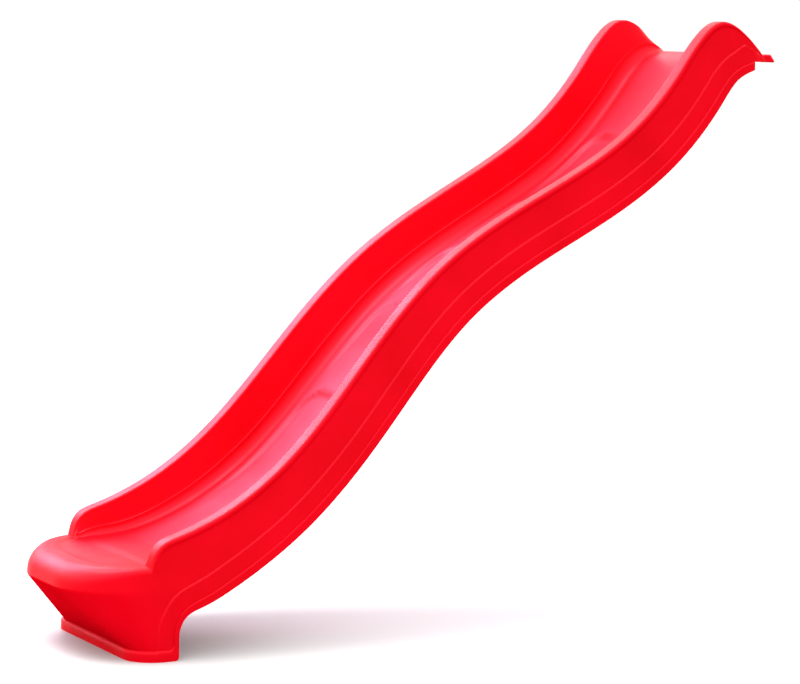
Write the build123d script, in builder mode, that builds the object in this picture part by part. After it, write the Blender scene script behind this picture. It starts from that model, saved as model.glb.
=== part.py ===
"""Garden wave slide: one moulded plastic shell and the fixings that hold it to a play platform.

Millimetres, +Z up.  X runs from the exit (low end) to the platform (high end), Y across the slide.
The origin is on the ground, under the middle of the overall length, on the mirror plane.
"""
from build123d import *
from math import exp, hypot, tanh
import os

os.makedirs("parts", exist_ok=True)

# ---- driving dimensions ------------------------------------------------------------------------
overall_length = 1730
deck_height = 1250          # ground to the underside of the lip, where the platform deck is
skin = 4                    # wall of the moulding
rim_width = 36              # both skins of a side wall, over the rim
rim_radius = 6
rim_edge_length = 1990      # only the two rims have edges longer than this

nose_x = -overall_length / 2
lip_end_x = overall_length / 2
platform_x = lip_end_x - 67         # the vertical face that meets the platform's edge
lip_thickness = 16
lip_top = deck_height + lip_thickness
lip_end_slope = 12                  # how far the end of the lip leans out
end_face_height = 19

nose_top = 202
nose_edge_radius = 46
nose_corner_radius = 180
nose_half_width = 233
foot_front_x = -750
foot_half_width = 228
foot_corner_radius = 65
foot_rear_x = -652
foot_ring_height = 22               # raised ring round the bottom of the foot
foot_ring_step = 5

edge_strip_width = 20               # strip along the lower edge of each side, the outermost step
edge_strip_step = 6
flute_width = 60                    # edge strip and the shallower step above it
flute_step = 3

bed_cove_radius = 28
wall_lean = 9               # how far a side wall's inner face leans out, from the bed up to the rim
wall_lean_height = 100
trough_reach = 230
trough_stations = 41
anchor_hole_radius = 6
anchor_hole_pitch = 280
anchor_flange_rear = -700
anchor_hole_x = -722

screw_pitch = 60
screw_count = 3
screw_x = platform_x + 32
screw_hole_radius = 4.5
boss_radius = 19
lip_hollow_x = platform_x + 27.5
lip_hollow_length = 51
lip_hollow_width = 430

# deck screws: hexagon head on a steel washer, sunk in the lip under a snap-in cap
sink_radius = 14
sink_depth = 10
shank_radius = 4
screw_length = 56
screw_point = 9
head_across_flats = 13
head_height = 5.5
washer_radius = 12
washer_hole_radius = 4.3
washer_thickness = 1.6
cap_radius = 17
cap_rise = 1.2
cap_skirt_wall = 1.6
cap_skirt_height = 5
cap_edge_radius = 1

# ---- the slide's side view (X, Z), exit to platform -------------------------------------------
rail_end = [(-712, 186), (-703, 226), (-685, 251), (-655, 264)]
rim_wave = [(-525, 317), (-377, 423), (-192, 623), (0, 812), (156, 912), (317, 997), (470, 1095), (595, 1227)]
hump = [(655, 1305), (712, 1341), (763, 1322), (823, lip_top)]
rim_line = rail_end + rim_wave + hump

bed_run_out = [(-712, nose_top), (-600, 207), (-500, 236), (-400, 286)]
bed_wave = [(-307, 352), (-115, 555), (65, 731), (207, 822), (367, 907), (535, 1015), (677, 1163)]
bed_crown = [(735, 1231), (765, 1253.5), (795, 1263.6), (835, lip_top), (lip_end_x + 60, lip_top)]
bed_line = bed_run_out + bed_wave + bed_crown

foot_rear = [(foot_rear_x, 0), (foot_rear_x, 35), (-649, 70), (-634, 94), (-600, 110)]
under_wave = [(-526, 144), (-355, 253), (-206, 390), (-73, 543), (66, 690), (233, 804), (412, 900), (580, 1013)]
under_end = [(715, 1163), (757, 1212), (platform_x, deck_height - end_face_height)]
lower_line = foot_rear + under_wave + under_end

# ---- the slide's plan: half width over the side walls, slightly waisted at mid length ----------
half_width_mean = 230
exit_flare = 4
waist_depth = 24
waist_x = 20
waist_reach = 330
plan_stations = range(-760, 961, 86)


def half_width_at(x):
    """Half the width over the side walls, as a smooth function of the place along the slide."""
    waist = waist_depth * exp(-(((x - waist_x) / waist_reach) ** 2))
    return half_width_mean - exit_flare * tanh(x / 300) - waist


skin_overrun = 30           # how far the inner form runs out below the open underside
block_half_width = 300
block_height = 1700
far_side = Plane.XZ.offset(-block_half_width)       # side views are drawn here and run through to the near side


def shifted(line, distance):
    """The points of a line moved square to it, to its left for a positive distance."""
    moved = []
    for index, (x, z) in enumerate(line):
        before = line[max(index - 1, 0)]
        after = line[min(index + 1, len(line) - 1)]
        run = after[0] - before[0]
        rise = after[1] - before[1]
        length = hypot(run, rise)
        moved.append((x - distance * rise / length, z + distance * run / length))
    return moved


def screw_points(height=0):
    """Where the deck screws are, along the lip, at one height."""
    middle = (screw_count - 1) / 2
    return [(screw_x, (index - middle) * screw_pitch, height) for index in range(screw_count)]


def plan_block(outset):
    """A tall block with the slide's plan, its sides moved out by outset."""
    near = [(x, -half_width_at(x) - outset) for x in plan_stations]
    far = [(x, half_width_at(x) + outset) for x in plan_stations]
    with BuildPart() as block:
        with BuildSketch(Plane.XY.offset(-100)):
            with BuildLine():
                Spline(*near)
                Line(near[-1], far[-1])
                Spline(*far)
                Line(far[0], near[0])
            make_face()
        extrude(amount=block_height + 100)
    return block.part


def side_walls(inset):
    """The whole side outline of the slide behind the foot, with its top and sides moved in by inset.

    Moved in, it is the space inside the shell, so it runs out below the lower edge.
    """
    top = shifted(rim_line, -inset)
    if inset:
        top = [point for point in top if point[0] < platform_x - skin]
        lower = shifted(lower_line[3:], -skin_overrun)
        end_x = platform_x - skin
        corners = [top[-1], (end_x, 1290), (end_x, lower[-1][1])]
        front = [lower[0], (-640, 20), (-700, 30), top[0]]
        lower[-1] = corners[-1]
    else:
        lower = lower_line
        corners = [top[-1], (lip_end_x - lip_end_slope, lip_top), (lip_end_x, deck_height)]
        corners = corners + [(platform_x, deck_height), lower[-1]]
        front = [lower[0], (foot_rear_x - 20, 20), top[0]]
    with BuildPart() as block:
        with BuildSketch(far_side):
            with BuildLine():
                Spline(*top)
                Polyline(*corners)
                Spline(*lower)
                Polyline(*front)
            make_face()
        extrude(amount=2 * block_half_width)
        add(plan_block(-inset), mode=Mode.INTERSECT)
    return block.part


def edge_step(width, outset, below):
    """A stepped band of the side wall along its lower edge, as a block right across the slide."""
    upper = shifted(lower_line, width)
    lower = shifted(lower_line, -below)
    with BuildPart() as band:
        with BuildSketch(far_side):
            with BuildLine():
                Spline(*upper)
                Line(upper[-1], lower[-1])
                Spline(*lower)
                Line(lower[0], upper[0])
            make_face()
        extrude(amount=2 * block_half_width)
        add(plan_block(outset), mode=Mode.INTERSECT)
    return band.part


def foot_plan(height, front, half_width, corner, rear):
    """The outline of the foot at one height: straight behind, its two front corners rounded."""
    with BuildSketch(Plane.XY.offset(height)) as plan:
        with Locations((rear, 0)):
            Rectangle(rear - front, 2 * half_width, align=(Align.MAX, Align.CENTER))
        fillet(plan.vertices().group_by(Axis.X)[0], corner)
    return plan.sketch


def foot_block(inset, rear=foot_rear_x):
    """The box foot under the exit: the nose overhangs the foot, and its top edge is rounded over."""
    ring = (foot_front_x + inset, foot_half_width + foot_ring_step - inset, foot_corner_radius, rear)
    wall = (foot_front_x + foot_ring_step + inset, foot_half_width - inset, foot_corner_radius, rear)
    nose = (nose_x + inset, nose_half_width - inset, nose_corner_radius, rear)
    lean_top = nose_top - nose_edge_radius - 6
    with BuildPart() as block:
        extrude(foot_plan(0, *ring), amount=foot_ring_height - inset)
        loft([foot_plan(foot_ring_height - inset, *wall), foot_plan(lean_top, *nose)])
        extrude(foot_plan(lean_top, *nose), amount=nose_top - inset - lean_top)
        top_rim = block.faces().sort_by(Axis.Z)[-1].edges().filter_by(lambda edge: edge.center().X < rear - 1)
        fillet(top_rim, nose_edge_radius - inset)
    return block.part


def trough_section(plane, half_floor, cove):
    """The trough square to the bed: a flat floor, a cove at each side, and walls that lean out."""
    wall_foot = half_floor + wall_lean * cove / wall_lean_height
    wall_head = half_floor + wall_lean * trough_reach / wall_lean_height
    bulge = 0.29 * cove
    with BuildSketch(plane) as section:
        with BuildLine():
            Line((cove - half_floor, 0), (half_floor - cove, 0))
            ThreePointArc((half_floor - cove, 0), (half_floor - bulge, bulge), (wall_foot, cove))
            Polyline((wall_foot, cove), (wall_head, trough_reach), (-wall_head, trough_reach), (-wall_foot, cove))
            ThreePointArc((-wall_foot, cove), (bulge - half_floor, bulge), (cove - half_floor, 0))
        make_face()
    return section.sketch


def trough_space(outset):
    """The space over the bed, between the side walls: the slide's trough."""
    bed = shifted(bed_line, -outset)
    with BuildLine(Plane.XZ) as path:
        Spline(*bed, tangents=[(1, 0), (1, 0)])
    route = path.edges()[0]
    sections = []
    for index in range(trough_stations):
        along = index / (trough_stations - 1)
        place = route @ along
        half_floor = half_width_at(place.X) - rim_width - wall_lean + outset
        plane = Plane(origin=place, x_dir=(0, 1, 0), z_dir=route % along)
        sections.append(trough_section(plane, half_floor, bed_cove_radius + outset))
    with BuildPart() as space:
        loft(sections)
    return space.part


# ---- slide body --------------------------------------------------------------------------------
with BuildPart() as outer_form:
    add(side_walls(0))
    fillet(outer_form.edges().filter_by(lambda edge: edge.length > rim_edge_length), rim_radius)
    add(edge_step(flute_width, flute_step, 0))
    add(edge_step(edge_strip_width, edge_strip_step, 0))
    add(foot_block(0))
    add(trough_space(0), mode=Mode.SUBTRACT)

with BuildPart() as inner_form:
    add(side_walls(skin))
    add(edge_step(flute_width - skin, flute_step - skin, skin_overrun))
    add(edge_step(edge_strip_width - skin, edge_strip_step - skin, skin_overrun))
    add(foot_block(skin, foot_rear_x + 30))
    add(trough_space(skin), mode=Mode.SUBTRACT)

with BuildPart() as slide_body:
    add(outer_form.part)
    add(inner_form.part, mode=Mode.SUBTRACT)

    # the lip is a hollow plate with a skirt round its end, and bosses where the screws go through
    with BuildSketch(Plane.XY.offset(deck_height)) as lip_hollow:
        with Locations((lip_hollow_x, 0)):
            Rectangle(lip_hollow_length, lip_hollow_width)
        with Locations(screw_points()):
            Circle(boss_radius, mode=Mode.SUBTRACT)
    extrude(amount=lip_thickness - skin, mode=Mode.SUBTRACT)

    # an inward flange at the front of the foot takes the two ground anchors
    with BuildSketch() as anchor_flange:
        add(foot_plan(0, foot_front_x + skin, foot_half_width, foot_corner_radius, foot_rear_x))
        with Locations((anchor_flange_rear, 0)):
            Rectangle(200, 2 * block_half_width, align=(Align.MIN, Align.CENTER), mode=Mode.SUBTRACT)
    extrude(amount=skin)

    with Locations(screw_points(lip_top)):
        CounterBoreHole(screw_hole_radius, sink_radius, sink_depth, depth=lip_thickness)
    with Locations((anchor_hole_x, -anchor_hole_pitch / 2, skin), (anchor_hole_x, anchor_hole_pitch / 2, skin)):
        Hole(anchor_hole_radius, depth=skin)

# ---- deck fixings, three of each: hexagon screws on washers, under snap-in caps ------------------
washer_level = lip_top - sink_depth
head_level = washer_level + washer_thickness
point_level = head_level - screw_length

with BuildPart() as deck_washers:
    with BuildSketch(Plane.XY.offset(washer_level)):
        with Locations(screw_points()):
            Circle(washer_radius)
            Circle(washer_hole_radius, mode=Mode.SUBTRACT)
    extrude(amount=washer_thickness)

with BuildPart() as deck_screws:
    with BuildSketch(Plane.XY.offset(head_level)):
        with Locations(screw_points()):
            RegularPolygon(head_across_flats / 2, side_count=6, major_radius=False)
    extrude(amount=head_height)
    chamfer(deck_screws.faces().filter_by(Axis.Z).group_by(Axis.Z)[-1].edges(), 0.8)
    with BuildSketch(Plane.XY.offset(point_level + screw_point)):
        with Locations(screw_points()):
            Circle(shank_radius)
    extrude(amount=screw_length - screw_point)
    with Locations(screw_points(point_level + screw_point / 2)):
        Cone(0.6, shank_radius, screw_point)

with BuildPart() as screw_caps:
    with BuildSketch(Plane.XY.offset(lip_top)):
        with Locations(screw_points()):
            Circle(cap_radius)
    extrude(amount=cap_rise)
    fillet(screw_caps.edges().group_by(Axis.Z)[-1], cap_edge_radius)
    with BuildSketch(Plane.XY.offset(lip_top)):
        with Locations(screw_points()):
            Circle(sink_radius)
            Circle(sink_radius - cap_skirt_wall, mode=Mode.SUBTRACT)
    extrude(amount=-cap_skirt_height)

# ---- one file for each node ----------------------------------------------------------------------
nodes = {
    "slide_body": slide_body,
    "deck_screws": deck_screws,
    "deck_washers": deck_washers,
    "screw_caps": screw_caps,
}
for name, piece in nodes.items():
    piece.part.label = name
    export_step(piece.part, f"parts/{name}.step")
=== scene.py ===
"""Looks of the wave slide: a detailed moulded shell in place of the plain CAD one, its materials,
the studio and the camera.  Shapes are worked out in millimetres, in the CAD frame, and scaled to metres.
"""

from math import asin, cos, exp, hypot, pi, radians, sin, tanh

import bmesh
import bpy
import numpy as np
from mathutils import Matrix, Vector


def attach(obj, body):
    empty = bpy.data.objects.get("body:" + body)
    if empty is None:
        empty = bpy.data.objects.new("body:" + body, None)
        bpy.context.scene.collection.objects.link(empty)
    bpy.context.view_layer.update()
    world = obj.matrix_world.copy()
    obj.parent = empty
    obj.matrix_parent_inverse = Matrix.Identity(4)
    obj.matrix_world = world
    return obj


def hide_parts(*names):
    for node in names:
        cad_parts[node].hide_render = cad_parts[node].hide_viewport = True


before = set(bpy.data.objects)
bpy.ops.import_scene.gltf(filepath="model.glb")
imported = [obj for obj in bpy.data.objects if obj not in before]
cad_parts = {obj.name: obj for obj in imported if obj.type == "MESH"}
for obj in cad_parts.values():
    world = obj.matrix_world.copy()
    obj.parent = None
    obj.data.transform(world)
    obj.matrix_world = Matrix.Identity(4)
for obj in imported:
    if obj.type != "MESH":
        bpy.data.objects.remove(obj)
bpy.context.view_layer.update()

MM = 0.001
SKIN = 4.0
DECK_HEIGHT = 1250.0
LIP_TOP = 1266.0
PLATFORM_X = 798.0
END_FACE = 19.0             # height of the end face that meets the deck's edge

# ---- the slide's side view (X, Z), exit to platform ----------------------------------------------
NOSE_TOP = 202.0
RAIL_X = -712.0             # where the rims end, on the nose
rim_line = [(RAIL_X, NOSE_TOP), (-703, 232), (-685, 252), (-655, 264)]
rim_line += [(-525, 317), (-377, 423), (-192, 623), (0, 812)]
rim_line += [(156, 912), (317, 997), (470, 1095), (595, 1227)]
rim_line += [(655, 1305), (712, 1341), (763, 1322), (823, LIP_TOP)]
LIP_FRONT = (853.0, LIP_TOP)        # upper and lower corners of the lip's sloped end
LIP_FOOT = (865.0, DECK_HEIGHT)
bed_line = [(RAIL_X, NOSE_TOP), (-600, 207), (-500, 236), (-400, 286)]
bed_line += [(-307, 352), (-115, 555), (65, 731), (207, 822), (367, 907), (535, 1015), (677, 1163)]
bed_line += [(735, 1231), (765, 1253.5), (795, 1263.6), (835, LIP_TOP), (925, LIP_TOP)]
lower_line = [(-652, 0), (-652, 35), (-649, 70), (-634, 94), (-600, 110)]
lower_line += [(-526, 144), (-355, 253), (-206, 390), (-73, 543)]
lower_line += [(66, 690), (233, 804), (412, 900), (580, 1013)]
lower_line += [(715, 1163), (757, 1212), (PLATFORM_X, DECK_HEIGHT - END_FACE)]

# Cross-sections are numbered like the rim's points, 0 at its low end, and 16 is the end of the lip.
# For each number, the place on the bed and on the lower edge that belongs to the same cross-section.
LAST = 16
BODY_END = 14               # from here on the section is the lip's, over the deck
bed_index = [0, 0.11, 0.25, 0.55, 2.1, 3.9, 4.95, 5.95, 6.95, 7.95, 8.95, 9.9, 11, 12.1, 13.15, 13.7, 14.2]
lower_index = [2.5, 2.9, 3.3, 4.0, 5.5, 6.5, 7.9, 9.1, 10, 10.9, 11.85, 12.85, 13.6, 14.3, 15]

# ---- cross-section -------------------------------------------------------------------------------
RIM_WIDTH = 36.0
RIM_TAPER = 20.0            # how much narrower the rim gets down the back of the hump
WALL_LEAN = 9.0             # how far an inner wall leans out from the bed up to the rim
RIM_INNER_RADIUS = 4.5
RIM_OVERHANG = 2.2          # the rim stands proud of the outer wall, over a small ledge
LIP_INSET = 5.0             # how far the lip's side is set in from the wall
LIP_START = 15              # the cross-section where the hump has come down to the lip
STEP = 3.0                  # height of each of the two steps down the outer wall
UPPER_STEP, LOWER_STEP = (47, 58), (11, 20)     # the steps above the lower edge, at the foot and further up
STEP_NUMBERS = (0, 4)       # the cross-sections that those two heights belong to
LIP_STEP_SHARE = 0.52       # on the lip the upper step runs this share of the way down the side
MIDDLE = 93.5               # half width of the bed's middle strip, which runs on over the nose

# sizes that change along the slide: cross-section numbers, and the size at each
COVE_RADII = ([0, 1, 5, 12, 13.6, 15], [10, 6, 28, 32, 24, 12])     # between the bed and the side wall
CREASES = ([0, 0.6, 3.2, 4, 6, 11, 13], [0, 3.5, 3.0, 1.2, 1.6, 1.4, 0])    # the line at the wall's foot

# ---- foot and nose: outline of the foot at the ground, and of the nose on top ---------------------
FOOT_FRONT, FOOT_HALF, FOOT_CORNER = -745.0, 228.0, 65.0
NOSE_FRONT, NOSE_HALF, NOSE_CORNER = -865.0, 233.5, 180.0
RING_TOP = 24.0
OVERHANG_TOP = 150.0        # the nose leans out from the ring up to here
NOSE_EDGE, RAIL_EDGE = 46.0, 12.0   # radius of the nose's top edge, at the front and by the rails
EDGE_RADII = ([0, 2, 14, 15], [RAIL_EDGE, 6, 6, 4])     # the rim's outer edge, by cross-section number
NOSE_DROP = 8.0             # how far the nose's top falls towards the front
RECESS = 3.0                # the bed lies this much below the band round the nose


def smooth(low, high, value):
    """0 below low, 1 above high, and an even curve between."""
    share = min(max((value - low) / (high - low), 0.0), 1.0)
    return share * share * (3 - 2 * share)


def unit(vector):
    """The vector with length one."""
    return vector / hypot(*vector)


def spline(points):
    """A cubic spline through the points, as a function of the point's number."""
    points = np.array(points, float)
    gaps = np.hypot(*np.diff(points, axis=0).T)
    knots = np.concatenate([[0], np.cumsum(gaps)])
    count = len(points)
    system = np.eye(count)
    target = np.zeros((count, 2))
    for k in range(1, count - 1):
        before, after = gaps[k - 1], gaps[k]
        system[k, k - 1:k + 2] = before, 2 * (before + after), after
        target[k] = 6 * ((points[k + 1] - points[k]) / after - (points[k] - points[k - 1]) / before)
    bends = np.linalg.solve(system, target)

    def place(number):
        along = np.interp(number, range(count), knots)
        k = int(np.clip(np.searchsorted(knots, along, side="right") - 1, 0, count - 2))
        gap = gaps[k]
        a = (knots[k + 1] - along) / gap
        b = (along - knots[k]) / gap
        bend = (a ** 3 - a) * bends[k] + (b ** 3 - b) * bends[k + 1]
        return a * points[k] + b * points[k + 1] + bend * gap * gap / 6

    return place


rim_curve = spline(rim_line)
bed_curve = spline(bed_line)
lower_curve = spline(lower_line)


HALF_WIDTH, FLARE, FLARE_LENGTH = 230, 4, 300       # half the width is a little larger at the low end
WAIST, WAIST_X, WAIST_LENGTH = 24, 20, 330          # and this much smaller round WAIST_X


def half_width_at(x):
    """Half the width over the side walls: a little waisted at mid length."""
    waist = WAIST * exp(-(((x - WAIST_X) / WAIST_LENGTH) ** 2))
    return HALF_WIDTH - FLARE * tanh(x / FLARE_LENGTH) - waist


def rim_place(t):
    """The rim's top on cross-section t, and past the hump the lip's top."""
    if t <= LIP_START:
        return rim_curve(t)
    start = np.array(rim_line[-1], float)
    return start + (np.array(LIP_FRONT) - start) * (t - LIP_START)


def bed_place(t):
    """The bed on cross-section t; the lip is level right across."""
    if t >= LIP_START:
        return rim_place(t)
    return bed_curve(np.interp(t, range(LAST + 1), bed_index))


def edge_and_normal(number):
    """A point of the lower edge, and the direction square to the edge, into the wall."""
    near = 0.02
    run = lower_curve(number + near) - lower_curve(number - near)
    return lower_curve(number), unit(np.array([-run[1], run[0]]))


def foot_level(z):
    """0 on the foot's ring, 1 where the nose stands out furthest."""
    return min(max((z - RING_TOP) / (OVERHANG_TOP - RING_TOP), 0.0), 1.0)


def foot_outline(level):
    """Front, half width and corner radius of the foot and nose at one level."""
    front = FOOT_FRONT + (NOSE_FRONT - FOOT_FRONT) * level
    half = FOOT_HALF + (NOSE_HALF - FOOT_HALF) * level
    corner = FOOT_CORNER + (NOSE_CORNER - FOOT_CORNER) * level
    return front, half, corner


FOOT_BLEND = (-660, -540)           # between these X the foot's width turns into the trough's


def side_point(x, z, proud):
    """The point of the outer wall at (x, z), moved out by proud: it turns in round the foot's corners."""
    front, half, corner = foot_outline(foot_level(z))
    half = half + (half_width_at(x) - half) * smooth(*FOOT_BLEND, x)
    turn_x = front + corner
    turn = asin(min(max((turn_x - x) / corner, 0.0), 1.0))
    y = half - corner + corner * cos(turn)
    return x - proud * sin(turn), y + proud * cos(turn), z


def ray_point(s, level, proud):
    """A point round the nose in plan: s is 0 by the rail, 1 where the front runs straight, 2 midway."""
    front, half, corner = foot_outline(level)
    if s >= 1:
        return front - proud, (half - corner) * (2 - s)
    turn_x = front + corner
    straight = max(0.0, RAIL_X - turn_x)
    start = asin(min(max((turn_x - RAIL_X) / corner, 0.0), 1.0))
    length = s * (straight + (pi / 2 - start) * corner)
    if length < straight:
        return RAIL_X - length, half + proud
    turn = start + (length - straight) / corner
    return turn_x - (corner + proud) * sin(turn), half - corner + (corner + proud) * cos(turn)


# ---- details of the bed ----------------------------------------------------------------------------
# low and high end of each dished panel
panel_ends = [(-470, -152), (-190, 34), (0, 215), (180, 400), (360, 600)]
PANEL_DEPTH = 7.0
PANEL_FADE = 0.75               # a panel deepens over this share of its length
PANEL_CORNER = 48.0
PANEL_INSET = 44.0              # from the side wall's foot to the panel's edge
PANEL_EDGE = (-9, 7)            # the panel's slope, inside and outside its outline
BEAD_HEIGHT, BEAD_OFFSET, BEAD_SPREAD = 3.5, 6.0, 8.0
DISH = 4.0                      # how far the bed's middle sags, between the two ranges of X below
DISH_BEGINS, DISH_ENDS = (-640, -420), (600, 760)


def bed_dip(x, y, half):
    """How far the bed's surface lies above (or, negative, below) its side line at (x, y)."""
    dip = -DISH * (1 - (y / half) ** 2) * smooth(*DISH_BEGINS, x) * (1 - smooth(*DISH_ENDS, x))
    for low, high in panel_ends:
        across = abs(y) - (half - PANEL_INSET) + PANEL_CORNER
        along = x - high + PANEL_CORNER
        distance = hypot(max(across, 0), max(along, 0)) + min(max(across, along), 0) - PANEL_CORNER
        inside = 1 - smooth(*PANEL_EDGE, distance)
        bead = BEAD_HEIGHT * exp(-((distance - BEAD_OFFSET) / BEAD_SPREAD) ** 2)
        dip += (bead - PANEL_DEPTH * inside) * smooth(low, low + PANEL_FADE * (high - low), x)
    return dip


# ---- one cross-section, as rows of points ----------------------------------------------------------
# how many points there are over the bed's middle and its side, up the wall and across the rim's flat
MIDDLE_COLUMNS, SIDE_COLUMNS, WALL_COLUMNS, RIM_COLUMNS = 13, 12, 9, 3
CREASE_ROOM = 30.0          # on a lower wall than this the crease shrinks
ROUND_STEPS = 8
quarter = [k / ROUND_STEPS * pi / 2 for k in range(1, ROUND_STEPS + 1)]


def proud_of(t):
    """How far the rim overhangs the wall; on the lip, how far the side is set in."""
    rim = RIM_OVERHANG * smooth(0.8, 3, t) * (1 - smooth(13.2, 14.6, t))
    return rim - LIP_INSET * smooth(14.9, 15.1, t)


notch = np.array([PLATFORM_X, DECK_HEIGHT])     # the inner corner between the end face and the lip


def wall_lines(t):
    """On cross-section t, in side view: the upper and lower step of the outer wall, and the lower edge."""
    if t <= BODY_END:
        edge, normal = edge_and_normal(np.interp(t, range(BODY_END + 1), lower_index))
        upper = edge + normal * np.interp(t, STEP_NUMBERS, UPPER_STEP)
        lower = edge + normal * np.interp(t, STEP_NUMBERS, LOWER_STEP)
        near_end = smooth(13, BODY_END, t)
        top = rim_place(t)
        upper = upper + (top + (notch - top) * LIP_STEP_SHARE - upper) * near_end
        return upper, lower + (notch - lower) * near_end, edge
    foot = notch + (np.array(LIP_FOOT) - notch) * (t - BODY_END) / (LAST - BODY_END)
    top = rim_place(t)
    return top + (foot - top) * LIP_STEP_SHARE, foot, foot


def top_points(t):
    """From the middle of the bed out to the outer edge of the rim, on cross-section t."""
    floor, top = bed_place(t), rim_place(t)
    rise = top - floor
    height = hypot(*rise)
    lift = rise / height if height > 1e-6 else np.zeros(2)
    radius = np.interp(t, *EDGE_RADII)
    inner = min(RIM_INNER_RADIUS, 0.25 * height)
    lines = wall_lines(t)
    down = unit(np.array([0, -1]) * (1 - smooth(0, 1.5, t)) + unit(lines[1] - top) * smooth(0, 1.5, t))
    outer = top + down * radius
    edge_y = side_point(*outer, proud_of(t))[1]
    head_y = half_width_at(top[0]) - RIM_WIDTH + RIM_TAPER * smooth(13.7, 14.9, t)
    foot_y = half_width_at(floor[0]) - RIM_WIDTH - WALL_LEAN
    cove = np.interp(t, *COVE_RADII)
    cove_rise = min(cove, 0.4 * height)
    crease = np.interp(t, *CREASES) * smooth(0, 40, height)
    rows = [(y, 0.0) for y in np.linspace(0, MIDDLE, MIDDLE_COLUMNS)]
    rows += [(y, 0.0) for y in np.linspace(MIDDLE, foot_y - cove, SIDE_COLUMNS)[1:]]
    rows += [(foot_y - cove + cove * sin(a), cove_rise * (1 - cos(a))) for a in quarter]
    room = min(1.0, height / CREASE_ROOM)
    rows += [(foot_y + 0.05 * crease, cove_rise + 1.2 * room)]
    rows += [(foot_y + 0.9 * crease, cove_rise + 2.2 * room)]
    rows += [(foot_y + crease + 0.2, cove_rise + 3.2 * room)]
    low_y, low_rise = rows[-1]
    for k in range(1, WALL_COLUMNS + 1):
        share = k / WALL_COLUMNS
        rows.append((low_y + (head_y - low_y) * share, low_rise + (height - inner - low_rise) * share))
    rows += [(head_y + RIM_INNER_RADIUS * (1 - cos(a)), height - inner + inner * sin(a)) for a in quarter]
    flat_y = rows[-1][0]
    flat = edge_y - radius - flat_y
    rows += [(flat_y + flat * k / RIM_COLUMNS, height) for k in range(1, RIM_COLUMNS + 1)]
    points = []
    bed_end = foot_y - cove
    fade = 1 - smooth(0, 2.5, t)
    for y, rise_here in rows:
        x, z = floor + lift * min(rise_here, height)
        sunk = 1 - smooth(bed_end, head_y, y)
        z += (bed_dip(x, y, foot_y) - RECESS * fade) * sunk
        points.append((x, y, z))
    for a in quarter:
        x, z = top + down * radius * (1 - cos(a))
        points.append((x, edge_y - radius + radius * sin(a), z))
    return points


BAND_END = 8                # points close together at the foot of the band between the steps
band_shares = [0.0, 0.3, 0.6] + list(np.linspace(0.79, 1, BAND_END))
STEP_SPREAD = 1.6           # half the height over which a step comes out
step_profile = [(-0.7, 0.35), (0, 0.5), (0.7, 0.65)]        # place down the wall, and share of the step
# the small ledge under the rim: how far down the wall, and the share of the rim's overhang there
ledge_profile = [(0, 1), (4, 1), (5.5, 0.75), (7, 0.2), (8.5, 0)]
LEDGE_ROOM = 24.0           # on a lower wall than this the ledge shrinks
WALL_ROWS = 12


def wall_points(start, upper, lower, proud):
    """Down the outer wall in side view, from the rim to the lower step."""
    room = min(1.0, hypot(*(upper - start)) / LEDGE_ROOM)
    toward = unit(upper - start) * room
    across = unit(lower - upper)
    places = [(start + toward * fall, proud * share) for fall, share in ledge_profile]
    wall_start, wall_end = places[-1][0], upper - across * STEP_SPREAD
    for share in np.linspace(0, 1, WALL_ROWS + 1)[1:]:
        places.append((wall_start + (wall_end - wall_start) * share, 0.0))
    places += [(upper + across * fall, share) for fall, share in step_profile]
    band_start = upper + across * STEP_SPREAD
    for share in band_shares:
        places.append((band_start + (lower - band_start) * share, 1.0))
    return places


def stepped(places, step, inset=0.0):
    """The wall's points in space: below the rim's ledge, a share of 1 stands out by one step."""
    points = []
    under_rim = len(ledge_profile)
    for (x, z), overhang in places[:under_rim]:
        points.append(side_point(x, z, overhang + inset))
    for (x, z), share in places[under_rim:]:
        points.append(side_point(x, z, share * step + inset))
    return points


strip_shares = [0.0, 0.04, 0.08, 0.12, 0.17, 0.23, 0.3, 0.38, 0.5, 0.7, 0.88, 1.0]
STRIP_EDGE, RING_EDGE = 0.16, 0.4       # the share of the strip, or the ring, that its round edge takes


def ledge_round(share):
    """The profile of a rounded ledge: out fast at first, then turning down."""
    share = min(share, 1.0)
    return (1 - (1 - share) ** 2.6) ** 0.6


def strip_points(inner, outer, low, high, spread):
    """Across the strip along the lower edge, or the foot's ring, which stand out by a second step."""
    points = []
    for share in strip_shares:
        x, z = inner + (outer - inner) * share
        points.append(side_point(x, z, low + (high - low) * ledge_round(share / spread)))
    return points


# ---- the sheet: patches of points joined into faces ------------------------------------------------
sheet = bmesh.new()


def add_patch(rows):
    """Faces over a grid of points, rows by columns."""
    made = [[sheet.verts.new(Vector(point) * MM) for point in row] for row in rows]
    for near, far in zip(made[:-1], made[1:]):
        for a, b, c, d in zip(near[:-1], near[1:], far[1:], far[:-1]):
            sheet.faces.new((a, b, c, d))


def station_numbers():
    """Cross-sections from the low end of the rims to the end of the lip, close together where it turns."""
    spans = [(0, 1, 10), (1, 3, 16), (3, 4, 18), (4, 12, 200), (12, 14, 44), (14, 14.9, 18)]
    spans += [(14.9, 15.1, 4), (15.1, 16, 6)]
    numbers = [0.0]
    for start, end, count in spans:
        numbers += list(np.linspace(start, end, count + 1)[1:])
    return numbers


stations = station_numbers()
tops = [top_points(t) for t in stations]

add_patch(tops)

outer_rows = []
for t, top in zip(stations, tops):
    upper, lower, _ = wall_lines(t)
    start = np.array([top[-1][0], top[-1][2]])
    step = STEP * (1 - smooth(14.2, 14.9, t))
    inset = min(proud_of(t), 0.0)
    places = wall_points(start, upper, lower, max(proud_of(t), 0.0))
    outer_rows.append(stepped(places, step, inset))
add_patch(outer_rows)

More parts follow.
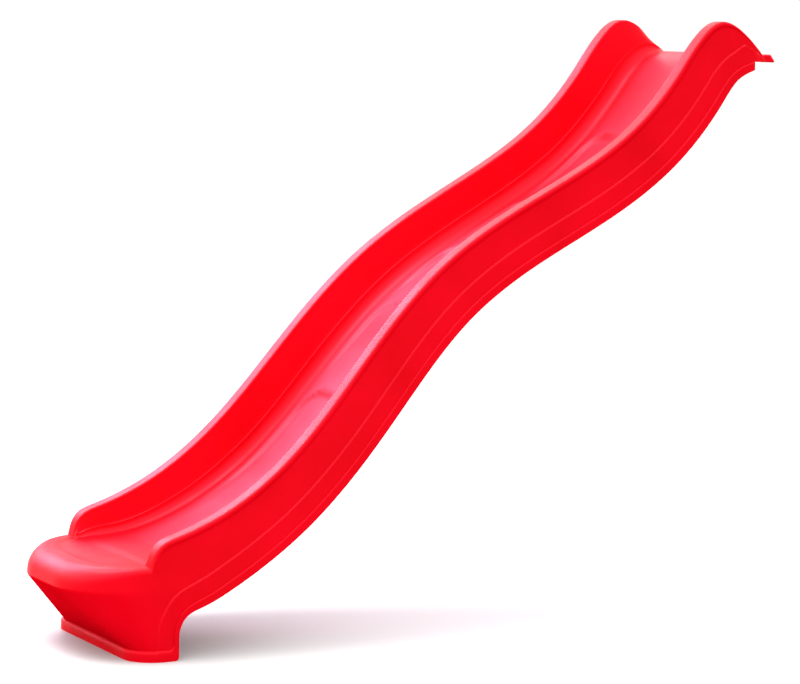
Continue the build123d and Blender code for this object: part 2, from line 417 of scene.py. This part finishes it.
strip_rows = []
for t in stations:
    if t <= BODY_END:
        _, lower, edge = wall_lines(t)
        strip_rows.append(strip_points(lower, edge, STEP, 2 * STEP, STRIP_EDGE))
add_patch(strip_rows)

# ---- the side of the foot: cross-sections turn level, from the rim's end down to the ring ----------
FOOT_STEPS = 26
STEP_X, CHAMFER_X, CHAMFER_END = -699.0, -670.2, -663.0     # on the ring, at the foot's lower rear corner
CHAMFER_RISE = 8.0
REAR_NUMBER = 0.9           # where on the lower edge the chamfered corner ends
rail_foot = NOSE_TOP - RAIL_EDGE
foot_rows, foot_strips = [], []
for k in range(FOOT_STEPS + 1):
    share = k / FOOT_STEPS
    number = np.interp(share, [0, 1], [REAR_NUMBER, lower_index[0]])
    edge, normal = edge_and_normal(number)
    start = np.array([RAIL_X, RING_TOP + (rail_foot - RING_TOP) * share])
    upper, lower = edge + normal * UPPER_STEP[0], edge + normal * LOWER_STEP[0]
    if k == 0:
        upper, lower = np.array([STEP_X, RING_TOP]), np.array([CHAMFER_END, RING_TOP])
    places = wall_points(start, upper, lower, 0.0)
    if k == 0:
        for place, _ in places:
            place[1] += max(place[0] - CHAMFER_X, 0.0) * CHAMFER_RISE / (CHAMFER_END - CHAMFER_X)
        ring_places = places
        lower = places[-1][0]
    foot_rows.append(stepped(places, STEP))
    foot_strips.append(strip_points(lower, edge, STEP, 2 * STEP, STRIP_EDGE))
add_patch(foot_rows)
add_patch(foot_strips)

# ---- the nose: rays fan out round the corner, and run straight over the front ----------------------
CORNER_RAYS, FRONT_RAYS = 44, 12
ray_numbers = list(np.linspace(0, 1, CORNER_RAYS + 1)) + list(np.linspace(1, 2, FRONT_RAYS + 1)[1:])
first_top = tops[0]
crown_rows = first_top[MIDDLE_COLUMNS - 1:-ROUND_STEPS]     # from the middle strip's edge to the rim's flat
crown_reach = crown_rows[-1][1] - MIDDLE


def nose_fall(x):
    """How far the nose's top has fallen at x."""
    forward = (RAIL_X - x) / (RAIL_X - NOSE_FRONT)
    return NOSE_DROP * smooth(0, 1, forward) * forward


nose_rows, ring_rows = [], []
for s in ray_numbers:
    radius = RAIL_EDGE + (NOSE_EDGE - RAIL_EDGE) * smooth(0, 0.8, s)
    heart_y = MIDDLE * min(1.0, 2 - s)
    rim_x, rim_y = ray_point(s, 1.0, -radius)
    row = []
    for x, y, z in crown_rows:
        share = (y - MIDDLE) / crown_reach
        out_x = RAIL_X + (rim_x - RAIL_X) * share
        out_y = heart_y + (rim_y - heart_y) * share
        row.append((out_x, out_y, z - nose_fall(out_x)))
    crest = NOSE_TOP - nose_fall(rim_x)
    for a in quarter:
        x, y = ray_point(s, 1.0, -radius * (1 - sin(a)))
        row.append((x, y, crest - radius * (1 - cos(a))))
    top_z = crest - radius
    for k in range(1, FOOT_STEPS + 1):
        share = k / FOOT_STEPS
        z = top_z + (RING_TOP - top_z) * share
        x, y = ray_point(s, foot_level(z + (NOSE_TOP - crest) * (1 - share)), 0.0)
        row.append((x, y, z))
    nose_rows.append(row)
    ring = []
    for share in strip_shares:
        x, y = ray_point(s, 0.0, 2 * STEP * ledge_round(share / RING_EDGE))
        ring.append((x, y, RING_TOP * (1 - share)))
    ring_rows.append(ring)
add_patch(nose_rows)
add_patch(ring_rows)

# ---- the ring along the side of the foot, and round its lower corner at the rear -------------------
REAR_RADIUS, REAR_FLAT = 8.0, 8.0       # the corner's radius, and the flat before it
rear_x, rear_z = lower_curve(REAR_NUMBER)


def corner_foot(share):
    """Along the ground, round the foot's rear corner and up its rear edge, from 0 to 1."""
    arc = REAR_RADIUS * pi / 2
    along = share * (REAR_FLAT + arc + rear_z - REAR_RADIUS)
    if along < REAR_FLAT:
        return np.array([rear_x - REAR_RADIUS - REAR_FLAT + along, 0.0])
    if along < REAR_FLAT + arc:
        turn = (along - REAR_FLAT) / REAR_RADIUS
        return np.array([rear_x - REAR_RADIUS + REAR_RADIUS * sin(turn), REAR_RADIUS * (1 - cos(turn))])
    return np.array([rear_x, REAR_RADIUS + along - REAR_FLAT - arc])


ring_side = []
first_chamfered = len(ring_places) - BAND_END
for k, (place, out) in enumerate(ring_places):
    rank = max(k - first_chamfered, 0) / (BAND_END - 1)
    outer = corner_foot(rank) if k >= first_chamfered else np.array([place[0], 0.0])
    edge_share = RING_EDGE + (STRIP_EDGE - RING_EDGE) * rank
    ring_side.append(strip_points(place, outer, out * STEP, 2 * STEP, edge_share))
add_patch(ring_side)

# ---- the sloped end of the lip -------------------------------------------------------------------
end_side = outer_rows[-1]
end_length = end_side[0][2] - end_side[-1][2]
end_shares = [(end_side[0][2] - point[2]) / end_length for point in end_side]
lip_foot_x, lip_foot_z = LIP_FOOT
end_rows = []
for x, y, z in tops[-1][:-1]:
    run, fall = lip_foot_x - x, lip_foot_z - z
    end_rows.append([(x + run * share, y, z + fall * share) for share in end_shares])
end_rows.append(end_side)
add_patch(end_rows)

# the lip's two corners are rounded in plan
LIP_CORNER = 10.0
corner_y = end_side[-1][1] * MM - LIP_CORNER * MM
slope = (LIP_FOOT[0] - LIP_FRONT[0]) / (LIP_TOP - DECK_HEIGHT)
for vert in sheet.verts:
    corner_x = (LIP_FOOT[0] - LIP_CORNER) * MM - (vert.co.z - DECK_HEIGHT * MM) * slope
    a, b = vert.co.x - corner_x, vert.co.y - corner_y
    if a > 0 and b > 0:
        pull = max(a, b) / hypot(a, b)
        vert.co.x = corner_x + a * pull
        vert.co.y = corner_y + b * pull

# ---- the far half, and the wall's thickness --------------------------------------------------------
WELD = 0.00004              # in metres: points nearer than this become one
bmesh.ops.remove_doubles(sheet, verts=sheet.verts, dist=WELD)
near_half = sheet.verts[:] + sheet.edges[:] + sheet.faces[:]
bmesh.ops.mirror(sheet, geom=near_half, matrix=Matrix.Identity(4), merge_dist=WELD, axis="Y")
bmesh.ops.remove_doubles(sheet, verts=sheet.verts, dist=WELD)
bmesh.ops.recalc_face_normals(sheet, faces=sheet.faces)
highest = max(sheet.faces, key=lambda face: face.calc_center_median().z)
if highest.normal.z < 0:
    bmesh.ops.reverse_faces(sheet, faces=sheet.faces)


MAX_STRETCH = 1.25          # how much deeper the inner skin may lie behind a tight corner


def thicken(bm, thickness):
    """Turns the sheet into a closed shell, its inner skin a set distance behind the outer one."""
    bm.normal_update()
    faces = list(bm.faces)
    rims = [edge for edge in bm.edges if edge.is_boundary]
    inner = {}
    for vert in list(bm.verts):
        depth = thickness * min(vert.calc_shell_factor(), MAX_STRETCH)
        inner[vert] = bm.verts.new(vert.co - vert.normal * depth)
    for face in faces:
        bm.faces.new([inner[vert] for vert in reversed(face.verts)])
    for edge in rims:
        loop = edge.link_loops[0]
        a, b = loop.vert, loop.link_loop_next.vert
        bm.faces.new((b, a, inner[a], inner[b]))


thicken(sheet, SKIN * MM)


# ---- inside the moulding: the end plate, the screw bosses and the anchor flange --------------------
inner_parts = bmesh.new()


def add_ring(sections, closed):
    """Faces between matching outlines, set one after another; closed joins the last to the first."""
    rings = [[inner_parts.verts.new(Vector(point) * MM) for point in section] for section in sections]
    pairs = list(zip(rings[:-1], rings[1:]))
    if closed:
        pairs.append((rings[-1], rings[0]))
    else:
        inner_parts.faces.new(rings[0])
        inner_parts.faces.new(rings[-1])
    for near, far in pairs:
        for k, vert in enumerate(near):
            after = (k + 1) % len(near)
            inner_parts.faces.new((vert, near[after], far[after], far[k]))


def rounded_corner(x, z, radius, start):
    """Four points round a corner of an outline, from the angle start on, turning a quarter."""
    turns = [start + k / 3 * pi / 2 for k in range(4)]
    return [(x + radius * cos(turn), z + radius * sin(turn)) for turn in turns]


OVERLAP = 0.5               # how far a part inside the moulding reaches into its skin
PLATE_LOW, PLATE_HIGH, PLATE_EDGE = DECK_HEIGHT - END_FACE, LIP_TOP - SKIN + OVERLAP, 0.8
plate_outline = []
for k, (side, rise) in enumerate([(1, 1), (0, 1), (0, 0), (1, 0)]):
    corner_x = PLATFORM_X - PLATE_EDGE if side else PLATFORM_X - SKIN + PLATE_EDGE
    corner_z = PLATE_HIGH - PLATE_EDGE if rise else PLATE_LOW + PLATE_EDGE
    plate_outline += rounded_corner(corner_x, corner_z, PLATE_EDGE, k * pi / 2)
plate_half = half_width_at(PLATFORM_X) + 1
add_ring([[(x, y, z) for x, z in plate_outline] for y in np.linspace(-plate_half, plate_half, 9)], False)

SCREW_X, SCREW_PITCH = 830.0, 60.0
BOSS_RADIUS, WELL_RADIUS, HOLE_RADIUS = 19.0, 14.0, 4.5
WELL_DEPTH, TURN_STEPS = 10.0, 48
WELL_FLOOR, BOSS_TOP = LIP_TOP - WELL_DEPTH, LIP_TOP - SKIN + OVERLAP
HOLE_EDGE, BOSS_EDGE = 0.5, 0.8
boss_profile = [(HOLE_RADIUS, DECK_HEIGHT + HOLE_EDGE), (HOLE_RADIUS + HOLE_EDGE, DECK_HEIGHT)]
boss_profile += [(BOSS_RADIUS - BOSS_EDGE, DECK_HEIGHT), (BOSS_RADIUS, DECK_HEIGHT + BOSS_EDGE)]
boss_profile += [(BOSS_RADIUS, BOSS_TOP), (WELL_RADIUS, BOSS_TOP)]
boss_profile += [(WELL_RADIUS, WELL_FLOOR), (HOLE_RADIUS, WELL_FLOOR)]
for centre_y in (-SCREW_PITCH, 0, SCREW_PITCH):
    turned_profile = []
    for turn in np.linspace(0, 2 * pi, TURN_STEPS, endpoint=False):
        across, aside = cos(turn), sin(turn)
        turned_profile.append([(SCREW_X + r * across, centre_y + r * aside, z) for r, z in boss_profile])
    add_ring(turned_profile, True)

FLANGE_FRONT, FLANGE_REAR = FOOT_FRONT + 1, -700.0
FLANGE_HALF = FOOT_HALF - FOOT_CORNER
ANCHOR_X, ANCHOR_Y, ANCHOR_RADIUS = -722.0, 140.0, 6.0
CELL, CELL_POINTS = 18.0, 9         # half the length of the flange's stretch round a hole, points per side


def flange_points(y):
    """A row of points across the flange at y, from the front to the rear."""
    return [(x, y) for x in np.linspace(FLANGE_FRONT, FLANGE_REAR, CELL_POINTS)]


def add_flange_cell(centre_y):
    """A stretch of the flange with an anchor hole in it."""
    low, high = flange_points(centre_y - CELL), flange_points(centre_y + CELL)
    levels = np.linspace(centre_y - CELL, centre_y + CELL, CELL_POINTS)[1:-1]
    sides = [(FLANGE_REAR, y) for y in levels]
    fronts = [(FLANGE_FRONT, y) for y in levels]
    outline = low + sides + high[::-1] + fronts[::-1]
    ring = []
    for x, y in outline:
        reach = ANCHOR_RADIUS / hypot(x - ANCHOR_X, y - centre_y)
        ring.append((ANCHOR_X + (x - ANCHOR_X) * reach, centre_y + (y - centre_y) * reach))
    upper = [[(x, y, SKIN) for x, y in loop] for loop in (outline, ring)]
    lower = [[(x, y, 0.0) for x, y in loop] for loop in (ring, outline)]
    add_ring(upper + lower, True)


def add_flange_strip(start_y, end_y):
    """A plain stretch of the flange."""
    rows = []
    for y in np.linspace(start_y, end_y, 7):
        row = [(FLANGE_FRONT, y, 0.0), (FLANGE_REAR, y, 0.0)]
        rows.append(row + [(FLANGE_REAR, y, SKIN), (FLANGE_FRONT, y, SKIN)])
    add_ring(rows, False)


add_flange_cell(-ANCHOR_Y)
add_flange_cell(ANCHOR_Y)
add_flange_strip(-FLANGE_HALF, -ANCHOR_Y - CELL)
add_flange_strip(CELL - ANCHOR_Y, ANCHOR_Y - CELL)
add_flange_strip(ANCHOR_Y + CELL, FLANGE_HALF)
bmesh.ops.recalc_face_normals(inner_parts, faces=inner_parts.faces)
inner_mesh = bpy.data.meshes.new("inner_parts")
inner_parts.to_mesh(inner_mesh)
inner_parts.free()
sheet.from_mesh(inner_mesh)
bpy.data.meshes.remove(inner_mesh)


SHARP_ANGLE = 42


def finish_mesh(bm, name):
    """The bmesh as an object, smooth except where faces meet at more than the sharp angle."""
    for face in bm.faces:
        face.smooth = True
    for edge in bm.edges:
        if len(edge.link_faces) != 2 or edge.calc_face_angle(0) > radians(SHARP_ANGLE):
            edge.smooth = False
    mesh = bpy.data.meshes.new(name)
    bm.to_mesh(mesh)
    bm.free()
    piece = bpy.data.objects.new(name, mesh)
    bpy.context.scene.collection.objects.link(piece)
    return piece


body = finish_mesh(sheet, "moulded_body")


# ---- materials ---------------------------------------------------------------------------------------
class Nodes:
    """A material's shader, with short ways to add nodes to it."""

    def __init__(self, name, **values):
        """A new material; values are set on the shader's own sockets."""
        self.material = bpy.data.materials.new(name)
        self.material.use_nodes = True
        self.tree = self.material.node_tree
        self.shader = self.tree.nodes["Principled BSDF"]
        for socket, value in values.items():
            self.shader.inputs[socket.replace("_", " ")].default_value = value

    def add(self, kind, **inputs):
        """A node of a kind, with values or other nodes' outputs for its inputs."""
        node = self.tree.nodes.new("ShaderNode" + kind)
        for socket, value in inputs.items():
            self.join(value, node.inputs[socket.replace("_", " ")])
        return node

    def join(self, value, socket):
        """Links an output to the socket, or sets a plain value on it."""
        if isinstance(value, bpy.types.NodeSocket):
            self.tree.links.new(value, socket)
        else:
            socket.default_value = value

    def noise(self, scale, detail=3.0, stretch=(1, 1, 1)):
        """Noise over the object's own coordinates, its grain longer where stretch is small."""
        place = self.add("TexCoord").outputs["Object"]
        mapping = self.add("Mapping", Vector=place, Scale=stretch)
        return self.add("TexNoise", Vector=mapping.outputs[0], Scale=scale, Detail=detail).outputs["Fac"]

    def ranged(self, value, low, high, start, end):
        """The value's range low to high, turned into start to end."""
        node = self.add("MapRange", Value=value, From_Min=low, From_Max=high, To_Min=start, To_Max=end)
        return node.outputs["Result"]

    def product(self, first, *others):
        """The values multiplied together."""
        for other in others:
            node = self.tree.nodes.new("ShaderNodeMath")
            node.operation = "MULTIPLY"
            self.join(first, node.inputs[0])
            self.join(other, node.inputs[1])
            first = node.outputs[0]
        return first

    def blend(self, share, first, second):
        """The first colour, turning into the second as the share rises from 0 to 1."""
        node = self.tree.nodes.new("ShaderNodeMix")
        node.data_type = "RGBA"
        self.join(share, node.inputs["Factor"])
        self.join(first, node.inputs[6])
        self.join(second, node.inputs[7])
        return node.outputs[2]

    def bump(self, *layers):
        """Bump layers as (height, strength, distance)."""
        normal = None
        for height, strength, distance in layers:
            node = self.add("Bump", Height=height, Strength=strength, Distance=distance)
            if normal:
                self.join(normal, node.inputs["Normal"])
            normal = node.outputs["Normal"]
        self.join(normal, self.shader.inputs["Normal"])


# the third colour is a painted sheen: the pink highlight the lights leave on the bed, put into the base
# colour
DEEP_RED, LIGHT_RED, PAINTED_SHEEN_PINK = (0.42, 0.0004, 0.003, 1), (0.50, 0.0008, 0.006, 1), (0.50, 0.04, 0.075, 1)
WAXY_IOR, WAXY_TINT = 1.2, (1, 0.55, 0.9, 1)
PAINTED_SHEEN_EDGE, PAINTED_SHEEN_FULL = 0.16, 0.1        # in metres from the middle: where the painted sheen starts, and is full
PAINTED_SHEEN_START, PAINTED_SHEEN_END = (-0.62, -0.42), (0.1, 0.4)       # the painted sheen comes and goes between these X


def moulded_plastic(name, roughness):
    """Polyethylene, coloured through: soft mottling, a fine orange-peel surface and faint rubbing.

    Faces that look up are polished, and near the bed's middle their base colour gets a painted pinkish
    sheen that stands for the lights' highlight; faces that look down stay dull and deep red.
    """
    look = Nodes(name, IOR=WAXY_IOR, Specular_Tint=WAXY_TINT)
    mottle = look.ranged(look.noise(5.0, 4.0), 0.3, 0.7, 0, 1)
    place = look.add("TexCoord")
    facing = look.add("SeparateXYZ", Vector=place.outputs["Normal"]).outputs["Z"]
    spot = look.add("SeparateXYZ", Vector=place.outputs["Object"])
    off_middle = look.product(spot.outputs["Y"], spot.outputs["Y"])
    above_foot = look.ranged(spot.outputs["X"], *PAINTED_SHEEN_START, 0.1, 1)
    along = look.product(above_foot, look.ranged(spot.outputs["X"], *PAINTED_SHEEN_END, 1, 0.3))
    across = look.ranged(off_middle, PAINTED_SHEEN_EDGE ** 2, PAINTED_SHEEN_FULL ** 2, 0, 1)
    cloudy = look.ranged(look.noise(4.0, 3.0), 0.3, 0.7, 0.5, 1)
    # painted sheen: up-facing faces near the bed's middle are painted pinker, in place of the lights'
    # highlight there
    painted_sheen = look.product(look.ranged(facing, 0.45, 0.6, 0, 1), across, along, cloudy)
    colour = look.blend(painted_sheen, look.blend(mottle, DEEP_RED, LIGHT_RED), PAINTED_SHEEN_PINK)
    look.join(colour, look.shader.inputs["Base Color"])
    polish = look.ranged(facing, -0.2, 0.45, 0.0, 0.5)
    shine = look.product(polish, look.ranged(facing, 0.85, 1.0, 1, 0.3))
    look.join(shine, look.shader.inputs["Specular IOR Level"])
    rub = look.ranged(look.noise(14.0, 5.0), 0.35, 0.75, roughness - 0.03, roughness + 0.05)
    look.join(rub, look.shader.inputs["Roughness"])
    look.bump((look.noise(420.0, 2.0), 0.02, 0.0006), (look.noise(7.0, 2.0), 0.03, 0.006))
    return look.material


slide_red = moulded_plastic("slide_red", 0.42)
cap_red = moulded_plastic("cap_red", 0.48)


def zinc():
    """Zinc-plated steel: fine brushed grain and a faint bluish bloom."""
    look = Nodes("zinc_steel", Metallic=1.0)
    bloom = look.ranged(look.noise(300.0, 4.0), 0.3, 0.7, 0, 1)
    grey = look.blend(bloom, (0.56, 0.57, 0.6, 1), (0.72, 0.72, 0.7, 1))
    look.join(grey, look.shader.inputs["Base Color"])
    look.join(look.ranged(look.noise(900.0, 2.0), 0, 1, 0.26, 0.44), look.shader.inputs["Roughness"])
    look.bump((look.noise(1500.0, 1.0, (1, 1, 0.2)), 0.1, 0.0004))
    return look.material


steel = zinc()


def cover(piece, material):
    """Gives the piece this one material."""
    piece.data.materials.clear()
    piece.data.materials.append(material)


cover(body, slide_red)
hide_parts("slide_body")
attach(body, "root")
finishes = {"deck_screws": steel, "deck_washers": steel, "screw_caps": cap_red}
for node, material in finishes.items():
    cover(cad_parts[node], material)

# ---- studio --------------------------------------------------------------------------------------------
def pale(name, colour):
    """A matt floor paint, its tone a little uneven."""
    look = Nodes(name, Roughness=0.7, Specular_IOR_Level=0.1)
    tone = look.ranged(look.noise(2.0, 2.0), 0, 1, 0, 1)
    dimmer = tuple(c * 0.99 for c in colour[:3]) + (1,)
    look.join(look.blend(tone, colour, dimmer), look.shader.inputs["Base Color"])
    return look.material


REACH = 40.0
floor_mesh = bpy.data.meshes.new("floor")
floor_corners = [(-REACH, -REACH, 0), (REACH, -REACH, 0), (REACH, REACH, 0), (-REACH, REACH, 0)]
floor_mesh.from_pydata(floor_corners, [], [(0, 1, 2, 3)])
floor = bpy.data.objects.new("floor", floor_mesh)
bpy.context.scene.collection.objects.link(floor)
cover(floor, pale("floor_white", (0.36, 0.36, 0.36, 1)))

# a dome that is white at the horizon and bright overhead; its strength follows the direction's Z
HORIZON_Z, OVERHEAD_Z = 0.16, 0.46
HORIZON_STRENGTH, OVERHEAD_STRENGTH = 1.03, 3.4
world = bpy.data.worlds.new("studio")
bpy.context.scene.world = world
world.use_nodes = True
sky = world.node_tree.nodes
direction = sky.new("ShaderNodeTexCoord").outputs["Generated"]
split = sky.new("ShaderNodeSeparateXYZ")
rise = sky.new("ShaderNodeMapRange")
rise.interpolation_type = "SMOOTHSTEP"
rise.inputs["From Min"].default_value = HORIZON_Z
rise.inputs["From Max"].default_value = OVERHEAD_Z
rise.inputs["To Min"].default_value = HORIZON_STRENGTH
rise.inputs["To Max"].default_value = OVERHEAD_STRENGTH
world.node_tree.links.new(direction, split.inputs[0])
world.node_tree.links.new(split.outputs["Z"], rise.inputs["Value"])
world.node_tree.links.new(rise.outputs["Result"], sky["Background"].inputs["Strength"])
sky["Background"].inputs["Color"].default_value = (1, 1, 1, 1)


def soft_light(name, place, target, width, height, watts, colour=(1, 1, 1)):
    """A large soft box at place, turned to face target."""
    lamp = bpy.data.lights.new(name, "AREA")
    lamp.color = colour
    lamp.shape = "RECTANGLE"
    lamp.size = width
    lamp.size_y = height
    lamp.energy = watts
    box = bpy.data.objects.new(name, lamp)
    bpy.context.scene.collection.objects.link(box)
    box.location = place
    box.rotation_euler = (Vector(target) - Vector(place)).to_track_quat("-Z", "Y").to_euler()


MIDDLE_OF_SLIDE = (0, 0, 0.6)
soft_light("overhead", (-1.6, 0.9, 4.2), MIDDLE_OF_SLIDE, 2.4, 2.0, 330)
soft_light("behind", (-0.9, 4.2, 2.7), MIDDLE_OF_SLIDE, 3.4, 1.7, 185, (1, 0.6, 0.95))

# ---- camera: a low three-quarter view from the exit end ------------------------------------------------
STAND = (-3.2318, -5.8894, 1.3862)
TURN, TILT, ROLL = 28.77, 6.51, 0.366       # in degrees, away from a level view along +Y
FOCAL_LENGTH, SENSOR_WIDTH = 135, 36
lens = bpy.data.cameras.new("camera")
lens.lens = FOCAL_LENGTH
lens.sensor_width = SENSOR_WIDTH
lens.clip_end = 200
camera = bpy.data.objects.new("camera", lens)
bpy.context.scene.collection.objects.link(camera)
turned = Matrix.Rotation(radians(-TURN), 4, "Z") @ Matrix.Rotation(radians(90 - TILT), 4, "X")
rolled = Matrix.Rotation(radians(ROLL), 4, "Z")
camera.matrix_world = Matrix.Translation(STAND) @ turned @ rolled
bpy.context.scene.camera = camera
bpy.context.scene.view_settings.view_transform = "Standard"
